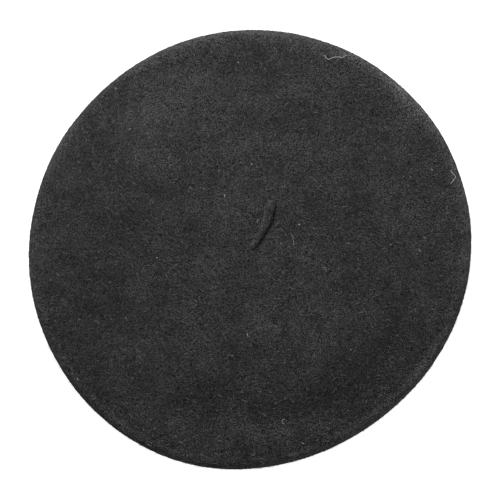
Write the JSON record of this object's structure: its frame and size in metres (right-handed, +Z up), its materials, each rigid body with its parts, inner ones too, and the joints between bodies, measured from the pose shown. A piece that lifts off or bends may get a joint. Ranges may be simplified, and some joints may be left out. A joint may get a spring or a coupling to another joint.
{
  "type": "beret",
  "caption": "Flat round felted wool beret with a rolled rim, leather-bound head opening, sewn lining and a short leaning stalk on the crown.",
  "frame": {"origin": "on the axis of the crown, at the surface that the folded edge of the leather band rests on", "axes": "+Z up out of the crown; +Y to the back of the head, where the two ends of the band meet; +X to the side"},
  "size_m": [0.28, 0.28, 0.0495],
  "materials": {
    "wool_felt": "fulled and brushed wool, charcoal black",
    "band_leather": "thin smooth sheepskin, black",
    "lining_satin": "black satin with a soft sheen",
    "label_weave": "woven damask, plain",
    "cotton_tape": "herringbone tape, black",
    "thread": "spun polyester thread"
  },
  "bodies": {
    "beret": {"felt_body": "wool_felt", "sweatband": "band_leather", "band_joint_tape": "cotton_tape", "band_joint_stitches": "thread", "band_stitches_inner": "thread", "band_stitches_outer": "thread", "lining_crown": "lining_satin", "lining_side": "lining_satin", "lining_seam_stitches": "thread", "maker_label": "label_weave", "label_stitches": "thread", "size_tab_root": "label_weave"},
    "stalk_root": {"stalk_root": "wool_felt"},
    "stalk": {"stalk": "wool_felt"},
    "size_tab": {"size_tab": "label_weave"}
  },
  "joints": [
    {"name": "stalk_swivel", "type": "hinge", "parent": "beret", "child": "stalk_root", "pos_m": [0.0026, 0.0026, 0.0458], "axis": [0, 0, 1], "range_deg": [-180, 180], "stiffness_Nm_per_rad": 0.0002},
    {"name": "stalk_lean", "type": "hinge", "parent": "stalk_root", "child": "stalk", "pos_m": [0.0026, 0.0026, 0.0458], "axis": [0.9205, -0.3907, 0], "range_deg": [0, 90], "stiffness_Nm_per_rad": 0.0005},
    {"name": "size_tab_flip", "type": "hinge", "parent": "beret", "child": "size_tab", "pos_m": [0, -0.0119, 0.03597], "axis": [1, 0, 0], "range_deg": [0, 90], "stiffness_Nm_per_rad": 0.0003}
  ]
}
